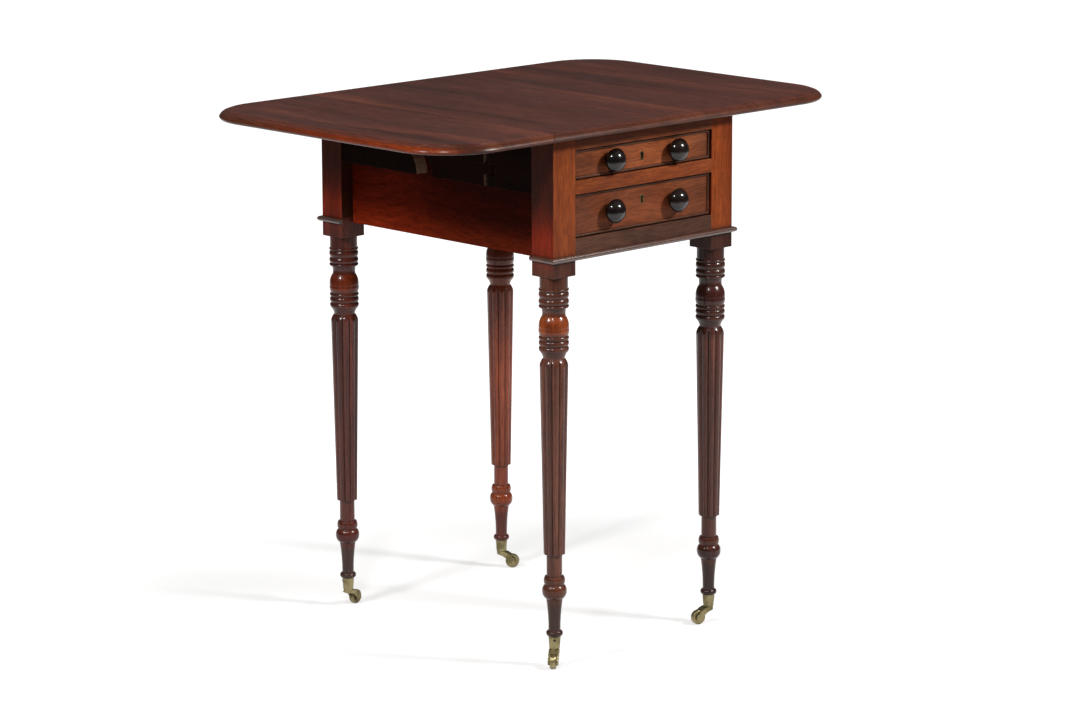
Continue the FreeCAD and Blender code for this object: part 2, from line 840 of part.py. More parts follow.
# Legs and casters
tenons = rail_tenons(top_rail_low, underside) + rail_tenons(middle_rail_low, upper_low)
tenons += rail_tenons(carcase_low, lower_low) + rear_apron_tenons()
tenons += side_apron_tenons() + [mirrored_x(tenon) for tenon in side_apron_tenons()]
plain_leg = leg()
plain_cup = caster_cup()
plain_horn = caster_horn()
plain_wheel = caster_wheel()
cups = []
for place, (x_side, y_side) in corners.items():
    spot = vec(x_side * leg_x, y_side * leg_y, 0)
    save("leg_" + place, plain_leg.translated(spot).cut(tenons))
    cups.append(plain_cup.translated(spot))
    for node, piece in (("caster_horn_", plain_horn), ("caster_wheel_", plain_wheel)):
        save(node + place, piece.rotated(origin, along_z, caster_angles[place]).translated(spot))
save("caster_cups", *cups)

# Front rails, with mortises for the lock bolts
save("front_top_rail", front_rail(top_rail_low, underside).cut(bolt_mortise(top_rail_low)))
save("front_middle_rail", front_rail(middle_rail_low, upper_low).cut(bolt_mortise(middle_rail_low)))
save("front_bottom_rail", front_rail(carcase_low, lower_low))

# Side aprons and fly rails
for side_name, place_side in (("left", mirrored_x), ("right", Part.Shape.copy)):
    save("side_apron_" + side_name, place_side(side_apron()))
    save("fly_block_front_" + side_name, place_side(fly_front_block()))
    save("fly_block_rear_" + side_name, place_side(fly_rear_block()))
    save("fly_bracket_" + side_name, place_side(fly_bracket()))
    save("leaf_" + side_name, place_side(leaf()))
    save("hinge_plates_leaf_" + side_name, *[place_side(hinge_leaf_plate(y)) for y in hinge_places()])
save("fly_pins", fly_pin(), mirrored_x(fly_pin()))

# Fixed top and its hinge halves
top_plates = [hinge_top_plate(y) for y in hinge_places()]
pins = [hinge_pin(y, 0) for y in hinge_places()]
save("fixed_top", fixed_top())
save("hinge_plates_top", *top_plates, *[mirrored_x(plate) for plate in top_plates])
save("hinge_pins", *pins, *[mirrored_x(pin) for pin in pins])

# Inside of the carcase
runners = [runner(lower_low - runner_height, lower_low), runner(middle_rail_low, upper_low)]
kicker = runner(top_rail_low, underside)
stops = [stop(lower_low), stop(upper_low)]
save("drawer_runners", *runners, *[mirrored_x(piece) for piece in runners])
save("drawer_kickers", kicker, mirrored_x(kicker))
save("drawer_stops", *stops, *[mirrored_x(piece) for piece in stops])

# Rear apron and mouldings
sham_beads = []
sham_knobs = []
apron = rear_apron(carcase_low, underside)
for low_level, high_level in ((lower_low, middle_rail_low), (upper_low, top_rail_low)):
    sham_bead, sham_rebate, sham_pair = sham_front(low_level, high_level)
    sham_beads += sham_bead
    sham_knobs += sham_pair
    apron = apron.cut(sham_rebate + sham_pair)
save("rear_apron", apron)
save("sham_beading", *sham_beads)
save("sham_knobs", *sham_knobs)
save("base_moulding_front", *base_moulding())
save("base_moulding_rear", *[mirrored_y(piece) for piece in base_moulding()])

# Drawers
for drawer_name, low_level, high_level in (
    ("drawer_lower", lower_low, middle_rail_low),
    ("drawer_upper", upper_low, top_rail_low),
):
    for piece_name, pieces in drawer(low_level, high_level).items():
        save(drawer_name + "_" + piece_name, *pieces)
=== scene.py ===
import bpy
import bmesh
import math
from mathutils import Matrix, Vector


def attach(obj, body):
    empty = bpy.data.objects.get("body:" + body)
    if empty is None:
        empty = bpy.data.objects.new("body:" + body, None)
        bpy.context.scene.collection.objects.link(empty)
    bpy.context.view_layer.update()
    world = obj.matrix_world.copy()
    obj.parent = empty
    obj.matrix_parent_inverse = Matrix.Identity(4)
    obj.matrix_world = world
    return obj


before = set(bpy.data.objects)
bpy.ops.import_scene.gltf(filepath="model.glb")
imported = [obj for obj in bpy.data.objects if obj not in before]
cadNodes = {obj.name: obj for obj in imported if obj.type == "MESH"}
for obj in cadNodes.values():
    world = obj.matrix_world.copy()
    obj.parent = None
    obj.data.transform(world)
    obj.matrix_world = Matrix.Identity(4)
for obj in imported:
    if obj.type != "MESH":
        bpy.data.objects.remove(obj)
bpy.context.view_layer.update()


# colours are written as 0-255 screen values and turned to linear here
def tint(red, green, blue):
    shares = [value / 255 for value in (red, green, blue)]
    linear = [s / 12.92 if s < 0.04045 else ((s + 0.055) / 1.055) ** 2.4 for s in shares]
    return (*linear, 1.0)


# adds a node, then links or sets its inputs
def place(tree, kind, inputs=None, **settings):
    node = tree.nodes.new(kind)
    for key, value in settings.items():
        setattr(node, key, value)
    for key, value in (inputs or {}).items():
        if isinstance(value, bpy.types.NodeSocket):
            tree.links.new(value, node.inputs[key])
        else:
            node.inputs[key].default_value = value
    return node


def calc(tree, operation, first, second=0.0, clamp=False):
    inputs = {0: first, 1: second}
    return place(tree, "ShaderNodeMath", inputs, operation=operation, use_clamp=clamp).outputs[0]


def scaleAdd(tree, value, factor, addend):
    inputs = {0: value, 1: factor, 2: addend}
    return place(tree, "ShaderNodeMath", inputs, operation="MULTIPLY_ADD").outputs[0]


def vectorCalc(tree, operation, first, second):
    inputs = {0: first, 1: second}
    return place(tree, "ShaderNodeVectorMath", inputs, operation=operation).outputs[0]


def dotProduct(tree, first, second):
    inputs = {0: first, 1: second}
    return place(tree, "ShaderNodeVectorMath", inputs, operation="DOT_PRODUCT").outputs["Value"]


def noise(tree, spot, scale, detail, roughness=0.5, distortion=0.0):
    inputs = {"Vector": spot, "Scale": scale, "Detail": detail, "Roughness": roughness,
              "Distortion": distortion}
    return place(tree, "ShaderNodeTexNoise", inputs).outputs


def ease(tree, value, low, high, start=0.0, end=1.0):
    inputs = {"Value": value, "From Min": low, "From Max": high, "To Min": start, "To Max": end}
    return place(tree, "ShaderNodeMapRange", inputs, interpolation_type="SMOOTHSTEP").outputs[0]


def mixColour(tree, factor, first, second, mode="MIX"):
    inputs = {0: factor, 6: first, 7: second}
    return place(tree, "ShaderNodeMix", inputs, data_type="RGBA", blend_type=mode).outputs[2]


def startGroup(name, inputs, outputs):
    tree = bpy.data.node_groups.new(name, "ShaderNodeTree")
    for label, kind, value in inputs:
        socket = tree.interface.new_socket(name=label, in_out="INPUT", socket_type="NodeSocket" + kind)
        socket.default_value = value
    for label, kind in outputs:
        tree.interface.new_socket(name=label, in_out="OUTPUT", socket_type="NodeSocket" + kind)
    return tree, tree.nodes.new("NodeGroupInput").outputs, tree.nodes.new("NodeGroupOutput").inputs


def fillGroup(tree, out, results):
    for label, socket in results.items():
        tree.links.new(socket, out[label])
    return tree


def useGroup(tree, group, inputs):
    return place(tree, "ShaderNodeGroup", inputs, node_tree=group).outputs


def addObject(name, data):
    piece = bpy.data.objects.new(name, data)
    bpy.context.scene.collection.objects.link(piece)
    return piece


# grain: broad figure, fine fibre lines and short pores, all drawn out along the board
grainMix = {
    "wander": {"scale": 5.0, "detail": 2.0}, "middle": (0.5, 0.5, 0.5), "cloud": {"scale": 4.0, "detail": 2.0},
    "figure": {"detail": 5.0, "roughness": 0.55, "distortion": 0.4}, "fibre": {"detail": 4.0, "roughness": 0.6},
    "pores": {"detail": 1.0}, "poreRatio": 2.6, "poreRange": (0.56, 0.7),
}


def makeGrainGroup():
    tree, given, out = startGroup(
        "boardGrain",
        [("Vector", "Vector", (0, 0, 0)), ("Stretch", "Vector", (1, 1, 1)), ("Seed", "Float", 0.0),
         ("Figure Scale", "Float", 20.0), ("Fibre Scale", "Float", 300.0), ("Sway", "Float", 0.02)],
        [("Figure", "Float"), ("Fibre", "Float"), ("Pores", "Float"), ("Cloud", "Float")])
    seed = given["Seed"]
    shift = place(tree, "ShaderNodeCombineXYZ", {0: seed, 1: seed, 2: seed}).outputs[0]
    spot = vectorCalc(tree, "ADD", given["Vector"], shift)
    wander = noise(tree, spot, **grainMix["wander"])["Color"]
    sway = {0: vectorCalc(tree, "SUBTRACT", wander, grainMix["middle"]), "Scale": given["Sway"]}
    swayed = place(tree, "ShaderNodeVectorMath", sway, operation="SCALE").outputs[0]
    moved = vectorCalc(tree, "ADD", spot, swayed)
    drawn = vectorCalc(tree, "MULTIPLY", moved, given["Stretch"])
    poreScale = calc(tree, "MULTIPLY", given["Fibre Scale"], grainMix["poreRatio"])
    pores = noise(tree, drawn, poreScale, **grainMix["pores"])[0]
    return fillGroup(tree, out, {
        "Figure": noise(tree, drawn, given["Figure Scale"], **grainMix["figure"])[0],
        "Fibre": noise(tree, drawn, given["Fibre Scale"], **grainMix["fibre"])[0],
        "Pores": ease(tree, pores, *grainMix["poreRange"]),
        "Cloud": noise(tree, spot, **grainMix["cloud"])[0]})


# wear and shade: rubbed edges, darkening in the corners that is partly dirt and partly painted shade, and a
# softened edge for the light to catch
wearDirtAndShadeMix = {
    "bevelSamples": 4, "edgeRange": (0.99, 0.86), "chance": {"scale": 60.0, "detail": 3.0},
    "rubRange": (0.38, 0.62), "openSamples": 6, "dirtAndShadeRange": (0.85, 0.3), "patchRange": (0.2, 0.6, 0.6, 1.0),
}


def makeWearDirtAndShadeGroup():
    tree, given, out = startGroup(
        "wearDirtAndShade",
        [("Vector", "Vector", (0, 0, 0)), ("Edge Radius", "Float", 0.001), ("DirtAndShade Reach", "Float", 0.006)],
        [("Edge", "Float"), ("DirtAndShade", "Float"), ("Normal", "Vector")])
    radius = {"Radius": given["Edge Radius"]}
    soft = place(tree, "ShaderNodeBevel", radius, samples=wearDirtAndShadeMix["bevelSamples"]).outputs[0]
    flat = place(tree, "ShaderNodeNewGeometry").outputs["Normal"]
    edge = ease(tree, dotProduct(tree, soft, flat), *wearDirtAndShadeMix["edgeRange"])
    chance = noise(tree, given["Vector"], **wearDirtAndShadeMix["chance"])[0]
    rubbed = calc(tree, "MULTIPLY", edge, ease(tree, chance, *wearDirtAndShadeMix["rubRange"]), clamp=True)
    # darkening in the hollows from occlusion: partly dirt, partly painted shade
    reach = {"Distance": given["DirtAndShade Reach"]}
    exposed = place(tree, "ShaderNodeAmbientOcclusion", reach, samples=wearDirtAndShadeMix["openSamples"]).outputs["AO"]
    corner = ease(tree, exposed, *wearDirtAndShadeMix["dirtAndShadeRange"])
    dirtAndShade = calc(tree, "MULTIPLY", corner, ease(tree, chance, *wearDirtAndShadeMix["patchRange"]), clamp=True)
    return fillGroup(tree, out, {"Edge": rubbed, "DirtAndShade": dirtAndShade, "Normal": soft})


# polish: a wax film that is glossier in some patches, with fine wipe marks
polishMix = {
    "patch": {"scale": 9.0, "detail": 3.0}, "patchRange": (0.3, 0.7),
    "wipe": {"scale": 140.0, "detail": 2.0}, "wipeShare": 0.25, "wipeShift": -0.12,
}


def makePolishGroup():
    tree, given, out = startGroup(
        "waxFilm",
        [("Vector", "Vector", (0, 0, 0)), ("Bright", "Float", 0.25), ("Dull", "Float", 0.4)],
        [("Roughness", "Float")])
    patch = ease(tree, noise(tree, given["Vector"], **polishMix["patch"])[0], *polishMix["patchRange"])
    wipe = noise(tree, given["Vector"], **polishMix["wipe"])[0]
    marks = scaleAdd(tree, wipe, polishMix["wipeShare"], polishMix["wipeShift"])
    haze = calc(tree, "ADD", patch, marks, clamp=True)
    span = calc(tree, "SUBTRACT", given["Dull"], given["Bright"])
    return fillGroup(tree, out, {"Roughness": scaleAdd(tree, haze, span, given["Bright"])})


# tarnish on brass and iron, with pits
tarnishMix = {
    "cloud": {"detail": 5.0, "roughness": 0.6}, "cloudRange": (0.4, 0.66),
    "pits": {"detail": 2.0}, "pitRatio": 9.0, "pitRange": (0.6, 0.72),
}


def makeTarnishGroup():
    tree, given, out = startGroup(
        "tarnish",
        [("Vector", "Vector", (0, 0, 0)), ("Scale", "Float", 60.0)],
        [("Mask", "Float"), ("Pits", "Float")])
    cloud = noise(tree, given["Vector"], given["Scale"], **tarnishMix["cloud"])[0]
    pitScale = calc(tree, "MULTIPLY", given["Scale"], tarnishMix["pitRatio"])
    pits = noise(tree, given["Vector"], pitScale, **tarnishMix["pits"])[0]
    return fillGroup(tree, out, {
        "Mask": ease(tree, cloud, *tarnishMix["cloudRange"]),
        "Pits": ease(tree, pits, *tarnishMix["pitRange"])})


boardGrain = makeGrainGroup()
wearDirtAndShade = makeWearDirtAndShadeGroup()
waxFilm = makePolishGroup()
tarnish = makeTarnishGroup()
print("shader groups made: grain, age, polish, tarnish")


def newMaterial(name):
    material = bpy.data.materials.new(name)
    material.use_nodes = True
    tree = material.node_tree
    return material, tree, tree.nodes["Principled BSDF"], tree.nodes.new("ShaderNodeTexCoord").outputs


# where a second tone lies: over a span of the object, or on faces that look along or against an axis
def toneMask(tree, tone, where):
    axis = "XYZ".index(tone["axis"])
    if tone["by"] == "span":
        distance = place(tree, "ShaderNodeSeparateXYZ", {0: where["Object"]}).outputs[axis]
        rise = ease(tree, distance, tone["low"] - tone["fade"], tone["low"] + tone["fade"])
        fall = ease(tree, distance, tone["high"] + tone["fade"], tone["high"] - tone["fade"])
        mask = calc(tree, "MULTIPLY", calc(tree, "MULTIPLY", rise, fall), tone["share"])
    else:
        facing = place(tree, "ShaderNodeSeparateXYZ", {0: where["Normal"]}).outputs[axis]
        if tone["by"] == "either":
            facing = calc(tree, "ABSOLUTE", facing)
        else:
            facing = calc(tree, "MULTIPLY", facing, -1.0)
        mask = ease(tree, facing, tone["none"], tone["full"], 0.0, tone["share"])
    if "within" in tone:
        mask = calc(tree, "MULTIPLY", mask, toneMask(tree, tone["within"], where))
    return mask


# the wear marks, the dirt and painted shade in the corners, and the roughness of the polish, for wood and metal
# alike
def wearShadeAndPolish(tree, spot, look):
    reaches = {"Vector": spot, "Edge Radius": look["edge"], "DirtAndShade Reach": look["dirtAndShadeReach"]}
    gloss = {"Vector": spot, "Bright": look["bright"], "Dull": look["dull"]}
    return useGroup(tree, wearDirtAndShade, reaches), useGroup(tree, waxFilm, gloss)["Roughness"]


# lays a colour over another where a mask says
def stain(tree, colour, mask, share, over):
    return mixColour(tree, calc(tree, "MULTIPLY", mask, share), colour, tint(*over))


# dirt with painted shade in the corners, and rubbed edges, over the colour, then everything into the shader
def finishSurface(tree, shader, look, wearAndShade, colour, rough, height, depth):
    colour = stain(tree, colour, wearAndShade["DirtAndShade"], look["dirtAndShade"], look["dirtAndShadeColour"])
    colour = stain(tree, colour, wearAndShade["Edge"], look["rub"], look["rubColour"])
    tree.links.new(colour, shader.inputs["Base Color"])
    tree.links.new(rough, shader.inputs["Roughness"])
    relief = {"Strength": look["bump"], "Distance": depth, "Height": height, "Normal": wearAndShade["Normal"]}
    bump = place(tree, "ShaderNodeBump", relief)
    tree.links.new(bump.outputs[0], shader.inputs["Normal"])
    shader.inputs["Coat Roughness"].default_value = look["coatRough"]


# wood: figure between three colours, second tones (some of them painted light and shade), fibre and pores, dirt
# with painted shade in the corners, rubbed edges, wax
stretches = {"x": (0.07, 1, 1), "y": (1, 0.07, 1), "z": (1, 1, 0.07)}
woodMix = {
    "darkRange": (0.3, 0.5), "lightRange": (0.5, 0.7), "toneRange": (0.35, 0.65),
    "lineRange": (0.3, 0.7), "lineGain": 0.4, "fadeRange": (0.25, 0.75),
    "grime": 0.2, "poreDepth": -0.6, "bumpDepth": 0.0003,
}


def woodMaterial(name, look):
    material, tree, shader, where = newMaterial(name)
    spot = where["Object"]
    grain = useGroup(tree, boardGrain, {
        "Vector": spot, "Stretch": stretches[look["along"]], "Seed": look["seed"],
        "Figure Scale": look["figure"], "Fibre Scale": look["fibre"], "Sway": look["sway"]})
    wearAndShade, rough = wearShadeAndPolish(tree, spot, look)
    darkShare = ease(tree, grain["Figure"], *woodMix["darkRange"])
    lightShare = ease(tree, grain["Figure"], *woodMix["lightRange"])
    colour = mixColour(tree, darkShare, tint(*look["dark"]), tint(*look["mid"]))
    colour = mixColour(tree, lightShare, colour, tint(*look["light"]))
    for tone in look["tones"]:
        mask = toneMask(tree, tone, where)
        paleShare = ease(tree, grain["Figure"], *woodMix["toneRange"])
        second = mixColour(tree, paleShare, tint(*tone["deep"]), tint(*tone["pale"]))
        colour = mixColour(tree, mask, colour, second)
        rough = calc(tree, "MULTIPLY", rough, ease(tree, mask, 0.0, 1.0, 1.0, tone["rough"]), clamp=True)
    lines, fade = look["lines"], look["fade"]
    lineShade = ease(tree, grain["Fibre"], *woodMix["lineRange"], 1.0 - lines, 1.0 + lines * woodMix["lineGain"])
    fadeShade = ease(tree, grain["Cloud"], *woodMix["fadeRange"], 1.0 - fade, 1.0 + fade)
    depth = calc(tree, "MULTIPLY", lineShade, fadeShade)
    shade = place(tree, "ShaderNodeCombineColor", {0: depth, 1: depth, 2: depth}).outputs[0]
    colour = mixColour(tree, 1.0, colour, shade, "MULTIPLY")
    colour = stain(tree, colour, grain["Pores"], look["pores"], look["poreColour"])
    grimed = scaleAdd(tree, wearAndShade["DirtAndShade"], woodMix["grime"], rough)
    relief = scaleAdd(tree, grain["Pores"], woodMix["poreDepth"], grain["Fibre"])
    finishSurface(tree, shader, look, wearAndShade, colour, grimed, relief, woodMix["bumpDepth"])
    shader.inputs["Specular IOR Level"].default_value = look["specular"]
    if "coatOver" in look:
        tree.links.new(toneMask(tree, look["coatOver"], where), shader.inputs["Coat Weight"])
    else:
        shader.inputs["Coat Weight"].default_value = look["coat"]
    return material


# metal: a clean colour under tarnish, with pits
metalMix = {"tarnishRough": 0.2, "bumpDepth": 0.0002}


def metalMaterial(name, look):
    material, tree, shader, where = newMaterial(name)
    spot = where["Object"]
    wearAndShade, rough = wearShadeAndPolish(tree, spot, look)
    marks = useGroup(tree, tarnish, {"Vector": spot, "Scale": look["cloud"]})
    colour = stain(tree, tint(*look["clean"]), marks["Mask"], look["tarnish"], look["tarnished"])
    dulled = scaleAdd(tree, marks["Mask"], metalMix["tarnishRough"], rough)
    pits = calc(tree, "MULTIPLY", marks["Pits"], -1.0)
    finishSurface(tree, shader, look, wearAndShade, colour, dulled, pits, metalMix["bumpDepth"])
    shader.inputs["Metallic"].default_value = look["metal"]
    shader.inputs["Coat Weight"].default_value = look["coat"]
    return material


# boards of the top: moulded edges in a deeper side-grain tone with painted shade, painted light on the near half
# of the left edges, and a bare underside
# the near half of the top, where painted light lies on the left edges
nearHalf = {"by": "span", "axis": "Y", "low": -0.3, "high": 0.05, "fade": 0.12, "share": 1.0}
topBoards = {
    "along": "y", "seed": 0.0, "figure": 26.0, "fibre": 420.0, "sway": 0.03, "fade": 0.12,
    "dark": (60, 30, 22), "mid": (79, 40, 31), "light": (101, 53, 38),
    "lines": 0.35, "pores": 0.45, "poreColour": (34, 16, 12),
    "edge": 0.0009, "dirtAndShadeReach": 0.004, "dirtAndShade": 0.5, "dirtAndShadeColour": (24, 11, 8),
    "rub": 0.5, "rubColour": (132, 62, 30),
    "bright": 0.3, "dull": 0.42, "bump": 0.12, "specular": 0.16, "coat": 0.0, "coatRough": 0.2,
    "tones": [
        # the moulded edges: their own side-grain tone, darkened as painted shade
        {"by": "either", "axis": "Z", "none": 0.97, "full": 0.8, "share": 0.9,
         "deep": (60, 28, 16), "pale": (84, 42, 24), "rough": 0.9},
        # painted light: the left edges paler and more orange on their near half, where the left lamp falls
        {"by": "against", "axis": "X", "none": 0.3, "full": 0.7, "share": 0.95, "within": nearHalf,
         "deep": (94, 33, 8), "pale": (122, 47, 12), "rough": 0.8},
        {"by": "against", "axis": "Z", "none": 0.9, "full": 0.98, "share": 0.9,
         "deep": (70, 42, 29), "pale": (104, 66, 46), "rough": 1.7},
    ],
}

# front: rails, mouldings and drawer fronts; the drawer fronts carry painted shade towards their ends, and the
# upper front is painted lighter against the shade under the top
frontBoards = dict(
    topBoards, along="x", figure=30.0, sway=0.05, tones=[],
    dark=(98, 49, 26), mid=(124, 65, 36), light=(146, 80, 45),
    poreColour=(54, 26, 15), dirtAndShadeColour=(34, 16, 10), rubColour=(160, 92, 52))
# painted shade at the ends of the drawer fronts, next to the posts
leftPaintedShade = {"by": "span", "axis": "X", "low": -0.3, "high": -0.085, "fade": 0.05, "share": 0.75,
             "deep": (60, 32, 21), "pale": (86, 48, 33), "rough": 1.0}
rightPaintedShade = {"by": "span", "axis": "X", "low": 0.09, "high": 0.3, "fade": 0.05, "share": 0.5,
              "deep": (68, 38, 25), "pale": (94, 54, 37), "rough": 1.0}
# the upper drawer front is painted lighter than the lower, to cancel the shade that the top's overhang casts on
# it
upperBoards = dict(
    frontBoards, fade=0.22, dark=(122, 63, 35), mid=(154, 83, 48), light=(176, 99, 58),
    tones=[dict(leftPaintedShade, share=0.6), dict(rightPaintedShade, share=0.85)])
lowerBoards = dict(
    frontBoards, fade=0.22, seed=14.6, dark=(88, 43, 24), mid=(111, 57, 33), light=(131, 70, 41),
    tones=[leftPaintedShade, rightPaintedShade])
topRail = dict(frontBoards, seed=3.7, dark=(88, 44, 26), mid=(110, 57, 33), light=(130, 70, 41))
middleRail = dict(frontBoards, seed=4.3, dark=(98, 46, 22), mid=(124, 60, 29), light=(144, 74, 36))
bottomRail = dict(frontBoards, seed=6.1, dark=(56, 34, 26), mid=(72, 46, 36), light=(90, 56, 41))
beading = dict(frontBoards, seed=7.3, dark=(62, 36, 23), mid=(80, 48, 32), light=(100, 60, 40), rub=0.7)
moulding = dict(bottomRail, seed=9.4, bright=0.26, dull=0.34, specular=0.9)

# sides: aprons with painted shade towards the front, under the leaf, and fly rails with near-black faces, partly
# stain and partly painted shade, and pale sawn ends
sideBoards = dict(
    topBoards, seed=2.4, figure=18.0, sway=0.06, fade=0.25,
    # painted shade: the aprons darker towards the front
    tones=[{"by": "span", "axis": "Y", "low": -0.3, "high": 0.0, "fade": 0.12, "share": 0.7,
            "deep": (40, 12, 7), "pale": (60, 19, 10), "rough": 1.0}],
    dark=(86, 23, 9), mid=(118, 34, 14), light=(144, 48, 20),
    poreColour=(40, 13, 8), dirtAndShadeColour=(20, 7, 5), rubColour=(146, 70, 38), specular=0.02)
# the fly rails' faces are near black, partly a dark stain and partly painted shade under the leaf; the sawn ends
# keep the beech's pale colour
flyBoards = dict(
    sideBoards, seed=4.9, dark=(18, 9, 6), mid=(26, 12, 8), light=(36, 17, 10),
    tones=[{"by": "either", "axis": "X", "none": 0.6, "full": 0.25, "share": 0.95,
            "deep": (132, 102, 86), "pale": (166, 134, 114), "rough": 1.6}])

# legs: each is its own piece of timber, with a post, a shaft in three shades, a bulb, an onion and a foot; the
# posts carry painted light and shade on some faces
postSpan = {"by": "span", "axis": "Z", "low": 0.5535, "high": 0.8, "fade": 0.001, "share": 1.0}
legTurning = dict(
    topBoards, along="z", figure=34.0, sway=0.02,
    poreColour=(30, 14, 11), dirtAndShadeColour=(16, 7, 5), rubColour=(132, 72, 46),
    rub=0.45, dirtAndShade=0.85, dirtAndShadeReach=0.007, bright=0.24, dull=0.34, specular=0.14, coatRough=0.12,
    coatOver={"by": "span", "axis": "Z", "low": 0.0, "high": 0.552, "fade": 0.001, "share": 0.3})
postTones = [
    dict(postSpan, deep=(116, 50, 20), pale=(142, 66, 28), rough=1.2),
    # painted shade: the sides of the posts darker, under the leaves
    {"by": "either", "axis": "X", "none": 0.4, "full": 0.8, "share": 0.9, "within": postSpan,
     "deep": (54, 18, 10), "pale": (74, 26, 14), "rough": 1.0},
    # painted light: a red glow low on the sides of the posts, where the left lamp reaches below the leaf's shadow
    {"by": "either", "axis": "X", "none": 0.4, "full": 0.8, "share": 0.85,
     "within": dict(postSpan, high=0.6, fade=0.03),
     "deep": (128, 32, 10), "pale": (158, 48, 18), "rough": 1.0},
]
turnedSpans = {
    "bulb": {"by": "span", "axis": "Z", "low": 0.449, "high": 0.474, "fade": 0.003, "share": 0.9, "rough": 0.9},
    "onion": {"by": "span", "axis": "Z", "low": 0.094, "high": 0.108, "fade": 0.004, "share": 0.7, "rough": 0.9},
    "foot": {"by": "span", "axis": "Z", "low": 0.0, "high": 0.086, "fade": 0.008, "share": 0.75, "rough": 1.0},
}
postFace = {"by": "against", "axis": "Y", "none": 0.3, "full": 0.8, "share": 0.9, "within": postSpan,
            "rough": 1.2}
# painted shade on the faces of the rear posts that look into the table
paintedShadeInside = dict(postFace, deep=(26, 12, 8), pale=(40, 18, 11))
# painted light on the front faces of the front left post
paintedLightFront = dict(postFace, deep=(116, 53, 24), pale=(142, 71, 34))
darkRings = {"by": "span", "axis": "Z", "low": 0.405, "high": 0.5535, "fade": 0.01, "share": 0.7,
             "deep": (34, 18, 15), "pale": (52, 29, 24), "rough": 1.0}
legs = {
    "frontLeftLegWood": {
        "seed": 5.2, "shaft": ((58, 30, 21), (82, 44, 31), (106, 59, 42)), "bulb": ((116, 50, 20), (146, 70, 30)),
        "onion": ((74, 38, 24), (98, 54, 34)), "foot": ((38, 26, 20), (60, 43, 35)), "own": paintedLightFront},
    "frontRightLegWood": {
        "seed": 6.7, "shaft": ((56, 27, 20), (80, 40, 30), (104, 56, 42)), "bulb": ((66, 22, 16), (92, 34, 24)),
        "onion": ((40, 20, 17), (58, 31, 27)), "foot": ((36, 25, 22), (56, 41, 37)), "own": darkRings},
    "rearLeftLegWood": {
        "seed": 8.1, "shaft": ((60, 26, 20), (84, 38, 29), (108, 52, 40)), "bulb": ((98, 34, 14), (126, 50, 22)),
        "onion": ((66, 22, 18), (88, 34, 26)), "foot": ((34, 27, 24), (52, 43, 38)), "own": paintedShadeInside},
    "rearRightLegWood": {
        "seed": 9.6, "shaft": ((94, 40, 23), (128, 58, 34), (152, 74, 46)), "bulb": ((96, 40, 24), (120, 54, 34)),
        "onion": ((124, 52, 22), (152, 70, 32)), "foot": ((58, 28, 26), (82, 42, 38)), "own": paintedShadeInside},
}


def legLook(leg):
    turned = [dict(span, deep=leg[part][0], pale=leg[part][1]) for part, span in turnedSpans.items()]
    dark, mid, light = leg["shaft"]
    return dict(legTurning, seed=leg["seed"], dark=dark, mid=mid, light=light,
                tones=postTones + turned + [leg["own"]])


# drawer linings, knobs, and metals
insideBoards = dict(
    topBoards, seed=8.8, figure=22.0, fibre=360.0, sway=0.04, tones=[],
    dark=(138, 98, 58), mid=(166, 124, 78), light=(184, 144, 96), poreColour=(110, 74, 42),
    dirtAndShadeColour=(84, 58, 36), dirtAndShade=0.6, rub=0.3, rubColour=(196, 158, 112),
    bright=0.5, dull=0.66, specular=0.3, bump=0.2)
ebonised = dict(
    topBoards, seed=1.1, figure=40.0, fibre=500.0, tones=[],
    dark=(13, 8, 6), mid=(19, 11, 8), light=(30, 18, 13), poreColour=(9, 6, 5), dirtAndShadeColour=(7, 5, 4),
    rub=0.25, rubColour=(70, 40, 28), lines=0.2, pores=0.25, edge=0.0008,
    dull=0.4, specular=0.05, bump=0.03, coat=0.7, coatRough=0.07)
agedBrass = {
    "clean": (150, 138, 102), "tarnished": (98, 88, 60), "tarnish": 0.75, "cloud": 70.0,
    "edge": 0.0005, "dirtAndShadeReach": 0.004, "dirtAndShade": 0.85, "dirtAndShadeColour": (40, 32, 20),
    "rub": 0.6, "rubColour": (190, 176, 134),
    "bright": 0.3, "dull": 0.46, "bump": 0.2, "metal": 1.0, "coat": 0.0, "coatRough": 0.2,
}
lockBrass = dict(agedBrass, clean=(112, 90, 54), tarnished=(70, 54, 34), tarnish=0.8, dirtAndShade=0.9)
hingeIron = dict(
    agedBrass, clean=(92, 86, 80), tarnished=(58, 42, 34), dirtAndShadeColour=(30, 22, 18),
    rubColour=(132, 126, 118), bright=0.36, dull=0.52, metal=0.9, bump=0.3)
darkIron = dict(
    hingeIron, clean=(62, 56, 50), tarnished=(38, 28, 22), dirtAndShadeColour=(14, 10, 8),
    edge=0.0002, dirtAndShadeReach=0.001, rubColour=(104, 96, 86))

woods = {
    "fixedTopWood": topBoards, "leftLeafWood": dict(topBoards, seed=11.3),
    "rightLeafWood": dict(topBoards, seed=17.9), "upperFrontWood": upperBoards, "lowerFrontWood": lowerBoards,
    "topRailWood": topRail, "middleRailWood": middleRail, "bottomRailWood": bottomRail,
    "beadWood": beading, "mouldingWood": moulding, "sideWood": sideBoards, "flyWood": flyBoards,
    **{name: legLook(leg) for name, leg in legs.items()},
    "insideWood": insideBoards, "ebonisedWood": ebonised,
}
metals = {"agedBrass": agedBrass, "lockBrass": lockBrass, "hingeIron": hingeIron, "darkIron": darkIron}
finishes = {name: woodMaterial(name, look) for name, look in woods.items()}
finishes.update({name: metalMaterial(name, look) for name, look in metals.items()})
print("finishes made:", len(finishes))

